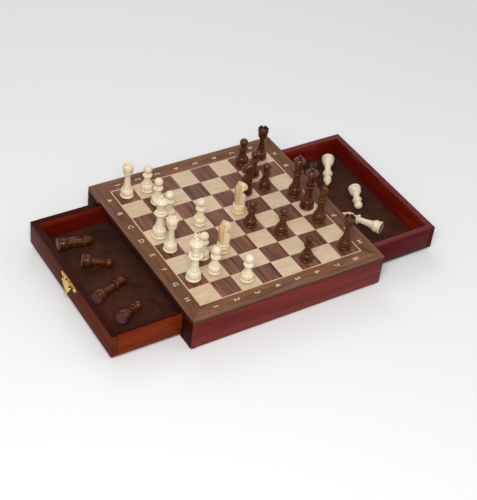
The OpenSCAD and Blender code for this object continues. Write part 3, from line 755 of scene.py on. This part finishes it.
def king():
    bm = turned(section(foot(ROYAL_R, 6.9, 17)
                        + [sweep(6.4, 18, 4.9, 40), ring(9.8, 40, 3), ring(6.6, 43.8, 2.4),
                           sweep_up(5.6, 43.8, 8.6, 60, 1.6), ring(9.2, 60.4, 2.6), ball(8.2, 57.6, 0, 61.4, 65.5),
                           ball(2.9, 67.4)], 70.3), seg=48)
    # the cross: a notch at the top, turned three times more, leaves four arms
    # on the diagonals
    notch = [(-1.9, 4.5), (-1.1, 1.6), (1.1, 1.6), (1.9, 4.5)]
    pts = []
    for q in range(4):
        a = math.radians(-90 * q)
        pts += [(x * math.cos(a) - y * math.sin(a), x * math.sin(a) + y * math.cos(a)) for x, y in notch]
    merge(bm, plate(pts, -1.5, 1.5, 0.35), moved(0, 0, 73.5) @ spun(90, "X"))
    return bm


# The knight's head: its side outline is filled with a fine net of points, whose
# thickness swells from the outline inwards and is then carved.
HORSE = [(-5.8, 13.6), (-6.9, 18.5), (-7.6, 25), (-8.0, 32), (-7.9, 39), (-6.9, 45.2), (-5.0, 49.8), (-2.6, 52.2),
         (0.4, 51.4), (3.4, 49.8), (6.2, 47.8), (8.6, 45.2), (9.8, 43), (10.1, 40.6), (9.5, 38.5), (8.0, 37.3),
         (6.2, 37.3), (4.4, 37.0), (3.2, 35.8), (3.3, 34.2), (5.4, 31.4), (7.9, 28.2), (8.9, 24.6), (8.5, 20.4),
         (7.4, 16.8), (5.8, 13.6)]


# how far a point of the head lies in the mane, from 0 to 1
def mane(x, z):
    edge = -1.2 - 0.03 * (45 - z)
    return min(1, max(0, (edge - x) / 0.9)) * min(1, max(0, (z - 16) / 3))


# the waves of the mane's locks, 2.3 mm apart, from -1 to 1
def lock(x, z):
    return math.sin((x + 0.5 * math.sin(z / 5)) * 2 * math.pi / 2.3)


# half the head's thickness at x, z, where the outline is d away
def horse_half(x, z, d):
    neck = 5.6 - 0.05 * min(max(z - 13, 0), 20)
    head = 4.7 - 0.14 * max(0, x - 2.5)
    t = min(max((z - 31) / 7, 0), 1)
    w = neck * (1 - t) + head * t
    h = w * math.sqrt(max(0, 1 - (1 - min(d, 3.4) / 3.4) ** 2))
    k = min(1, d / 1.2)

    def spot(px, pz, r, amount):
        return amount * math.exp(-((x - px) ** 2 + (z - pz) ** 2) / (r * r)) * k

    def groove(x0, z0, x1, z1, r, amount):
        vx, vz = x1 - x0, z1 - z0
        u = min(1, max(0, ((x - x0) * vx + (z - z0) * vz) / (vx * vx + vz * vz)))
        return -amount * math.exp(-((x - x0 - u * vx) ** 2 + (z - z0 - u * vz) ** 2) / (r * r)) * k

    # cheek, eye, nostril, mouth and the line of the throat
    h += spot(2.4, 41.6, 3.6, 0.7) + spot(4.2, 46.8, 0.8, 0.55) + spot(9.0, 41.0, 0.9, 0.35)
    h += spot(9.2, 40.6, 0.5, -0.9) + groove(9.6, 39.0, 6.6, 40.0, 0.45, 0.7)
    h += groove(3.0, 47.6, 4.2, 48.3, 0.35, 0.5) + groove(4.2, 48.3, 5.4, 47.2, 0.35, 0.5)
    h += groove(0.4, 36.4, 5.0, 38.4, 0.7, 0.6) + groove(-0.6, 45.2, -1.6, 37.2, 0.6, 0.7)
    # the chest stands out from the neck behind it
    h += groove(1.0, 15.0, 2.2, 33.0, 0.9, 0.55)
    h += mane(x, z) * (0.3 + 0.42 * lock(x, z)) * k
    return max(h, 0.0)


def knight():
    bm = turned(section(foot(OFFICER_R, 8.5, 13.1), 14.4))
    rim = smooth_loop(HORSE[:-1], 7)[:-6] + [Vector(HORSE[-1])]
    n = len(rim)
    sides = [(rim[i], rim[(i + 1) % n]) for i in range(n)]
    turns = 1 if sum(a.x * b.y - b.x * a.y for a, b in sides) > 0 else -1

    def dist(p):
        best = 99
        for a, b in sides:
            v = b - a
            u = min(1, max(0, (p - a).dot(v) / max(v.length_squared, 1e-9)))
            best = min(best, (p - a - v * u).length)
        return best

    def inside(p):
        odd = False
        for a, b in sides:
            if (a.y > p.y) != (b.y > p.y) and p.x < a.x + (p.y - a.y) * (b.x - a.x) / (b.y - a.y):
                odd = not odd
        return odd

    # three rows of points follow the outline, and staggered rows fill the rest
    pts = list(rim)
    for gap in (0.16, 0.5, 1.0):
        for i in range(n):
            d = rim[(i + 1) % n] - rim[i - 1]
            q = rim[i] + Vector((-d.y, d.x)).normalized() * gap * turns
            if inside(q) and dist(q) > gap * 0.85:
                pts.append(q)
    row, z = 0, 14.0
    while z < 53:
        x = -9.5 + (row % 2) * 0.36
        while x < 11:
            q = Vector((x, z))
            if inside(q) and dist(q) > 1.35:
                pts.append(q)
            x += 0.72
        z += 0.62
        row += 1
    vs, _, fs, *_ = geometry.delaunay_2d_cdt(pts, [(i, (i + 1) % n) for i in range(n)], [], 1, 1e-5)
    t = bmesh.new()
    near, far = [], []
    for v in vs:
        d = dist(Vector(v))
        h = horse_half(v[0], v[1], d) if d > 0.01 else 0
        near.append(t.verts.new((v[0] * MM, -h * MM, v[1] * MM)))
        far.append(t.verts.new((v[0] * MM, h * MM, v[1] * MM)) if d > 0.01 else near[-1])
    for f in fs:
        t.faces.new([near[i] for i in f])
        t.faces.new([far[i] for i in reversed(f)])
    merge(bm, t)
    for s in (-1, 1):
        ear = turned([(0, -2.4), (0.9, -1.8), (1.25, -0.8), (1.1, 0.5), (0.65, 1.7), (0.2, 2.5), (0, 2.6)], 14)
        merge(bm, ear, moved(-2.2, s * 1.55, 51.35) @ Matrix.Rotation(-0.15, 4, "Y"))
    # the locks' hollows hold the stain
    stain = bm.verts.layers.float.new("mane")
    for v in bm.verts:
        x, z = v.co.x / MM, v.co.z / MM
        v[stain] = mane(x, z) * (0.5 - 0.36 * lock(x, z))
    return bm


MEN = {"pawn": (pawn, PAWN_R), "rook": (rook, OFFICER_R), "bishop": (bishop, OFFICER_R), "queen": (queen, ROYAL_R),
       "king": (king, ROYAL_R), "knight": (knight, OFFICER_R)}


# stands a man on a square, file A at the back and rank 1 at the left
def on_square(file, rank, turn=0):
    return moved((rank - 4.5) * SQUARE, (4.5 - file) * SQUARE, TOP) @ spun(turn, "Z")


# lays a man on a drawer's floor, its foot at x, y and its head towards the angle
# turn: it rests on its foot's rim, r0 wide, and on a ring or ball r1 wide at z1
def laid(x, y, turn, r0, r1, z1, roll=0):
    reach, drop = z1 - FELT_T - RIM_R, r0 - RIM_R
    tilt = math.asin((RIM_R - r1) / math.hypot(reach, drop)) + math.atan2(drop, reach)
    lift = r1 + z1 * math.sin(tilt)
    return (moved(x, y, FLOOR + lift) @ spun(turn, "Z") @ Matrix.Rotation(math.pi / 2 + tilt, 4, "Y")
            @ spun(roll, "Z"))


LAID_PAWN, LAID_BISHOP = (PAWN_R, 6.2, 36.8), (OFFICER_R, 7.6, 37, 90)
PLACES = {
    "light_rook_1": on_square(1, 1), "light_rook_2": on_square(5, 1),
    "light_knight_1": on_square(6, 3, -10), "light_knight_2": on_square(4, 5, -10),
    "light_bishop_1": laid(231, 99, -125, *LAID_BISHOP), "light_bishop_2": laid(207, -73, 118, *LAID_BISHOP),
    "light_queen": on_square(4, 1), "light_king": on_square(7, 1, -20),
    "light_pawn_1": on_square(1, 2), "light_pawn_2": on_square(2, 2), "light_pawn_3": on_square(3, 2),
    "light_pawn_4": on_square(4, 3), "light_pawn_5": on_square(6, 2), "light_pawn_6": on_square(7, 2),
    "light_pawn_7": on_square(8, 3), "light_pawn_8": laid(226, 22, -115, *LAID_PAWN),
    "dark_rook_1": on_square(1, 8), "dark_rook_2": on_square(8, 8),
    "dark_knight_1": on_square(3, 6, 170), "dark_knight_2": laid(-226, 86, -6, OFFICER_R, 4.8, 54, 90),
    "dark_bishop_1": on_square(6, 8, 200), "dark_bishop_2": laid(-226, -31, 22, *LAID_BISHOP),
    "dark_queen": on_square(4, 8), "dark_king": on_square(5, 8, -20),
    "dark_pawn_1": on_square(1, 7), "dark_pawn_2": on_square(2, 7), "dark_pawn_3": on_square(3, 7),
    "dark_pawn_4": on_square(5, 5), "dark_pawn_5": on_square(6, 6), "dark_pawn_6": on_square(8, 6),
    "dark_pawn_7": laid(-210, 44, -28, *LAID_PAWN), "dark_pawn_8": laid(-214, -78, 25, *LAID_PAWN),
}
masters = {}
for kind, (make, _) in MEN.items():
    bm = make()
    me = bpy.data.meshes.new("master_" + kind)
    bm.to_mesh(me)
    bm.free()
    masters[kind] = me
for node, matrix in PLACES.items():
    colour, kind = node.split("_")[:2]
    bm = bmesh.new()
    bm.from_mesh(masters[kind])
    r = MEN[kind][1] - 1.6
    merge(bm, turned([(0, 0), (r - 0.3, 0), (r, 0.1), (r, 0.45), (0, 0.45)], mat=1))
    bmesh.ops.transform(bm, matrix=matrix, verts=bm.verts)
    timber = dark_wood if colour == "dark" else carved_wood if kind == "knight" else light_wood
    piece(node + "_turned", bm, [timber, maroon], node + "_piece", node, angle=40)
for me in masters.values():
    bpy.data.meshes.remove(me)

# ---------------------------------------------------------- stage
# A plain pale floor under soft studio light: a broad key from the left front, a
# fill from the right, a weak light from behind and the pale surroundings.

floor, nt, bsdf = material("pale_floor")
feed(nt, bsdf, {"Base Color": lin("#ededed"), "Roughness": 0.9})
bm = bmesh.new()
bmesh.ops.create_grid(bm, x_segments=1, y_segments=1, size=6.0)
me = bpy.data.meshes.new("floor")
bm.to_mesh(me)
bm.free()
me.materials.append(floor)
ground = bpy.data.objects.new("floor", me)
bpy.context.scene.collection.objects.link(ground)

world = bpy.data.worlds.new("studio")
world.use_nodes = True
nt = world.node_tree
# the surroundings look pale, and give less light than they seem to
rays = add(nt, "ShaderNodeLightPath")
seen = maths(nt, "MAXIMUM", maths(nt, "MAXIMUM", rays.outputs["Is Camera Ray"], rays.outputs["Is Glossy Ray"]),
             rays.outputs["Is Transmission Ray"])
feed(nt, nt.nodes["Background"], {"Color": lin("#f2f2f2"), "Strength": maths(nt, "MULTIPLY_ADD", seen, 0.4, 0.45)})
bpy.context.scene.world = world


# an area light that faces the middle of the box
def area(name, at, size, power):
    li = bpy.data.lights.new(name, "AREA")
    li.shape = "RECTANGLE"
    li.size, li.size_y = size
    li.energy = power
    ob = bpy.data.objects.new(name, li)
    away = Vector(at) - Vector((0, 0, 0.03))
    ob.matrix_world = Matrix.Translation(at) @ away.to_track_quat("Z", "Y").to_matrix().to_4x4()
    bpy.context.scene.collection.objects.link(ob)


area("key", (-0.9, -1.1, 1.6), (0.9, 0.8), 31)
area("fill", (1.3, -0.8, 1.0), (1.4, 1.0), 3.5)
area("back", (0.3, 1.5, 1.5), (1.4, 0.8), 6.5)
bpy.context.scene.view_settings.view_transform = "Standard"

# ---------------------------------------------------------- camera
# At the photograph's angle, fitted to the box's corners. The box is seen from
# the left front and above, and the camera leans a little to one side.

AZ, EL, ROLL = math.radians(-36.086), math.radians(40.654), math.radians(7.532)
FOCAL_PX, WIDTH_PX, DISTANCE = 1243.25, 477, 1.74558
target = Vector((6.68, -9.60, 2.5)) * MM
away = Vector((math.sin(AZ) * math.cos(EL), -math.cos(AZ) * math.cos(EL), math.sin(EL)))
right = (-away).cross(Vector((0, 0, 1))).normalized()
up = right.cross(-away)
cx = right * math.cos(ROLL) + up * math.sin(ROLL)
cy = up * math.cos(ROLL) - right * math.sin(ROLL)
cam = bpy.data.cameras.new("camera")
cam.sensor_fit = "HORIZONTAL"
cam.sensor_width = 36
cam.lens = FOCAL_PX * cam.sensor_width / WIDTH_PX
cam.clip_end = 50
eye = bpy.data.objects.new("camera", cam)
eye.matrix_world = Matrix.Translation(target + away * DISTANCE) @ Matrix((cx, cy, away)).transposed().to_4x4()
bpy.context.scene.collection.objects.link(eye)
bpy.context.scene.camera = eye
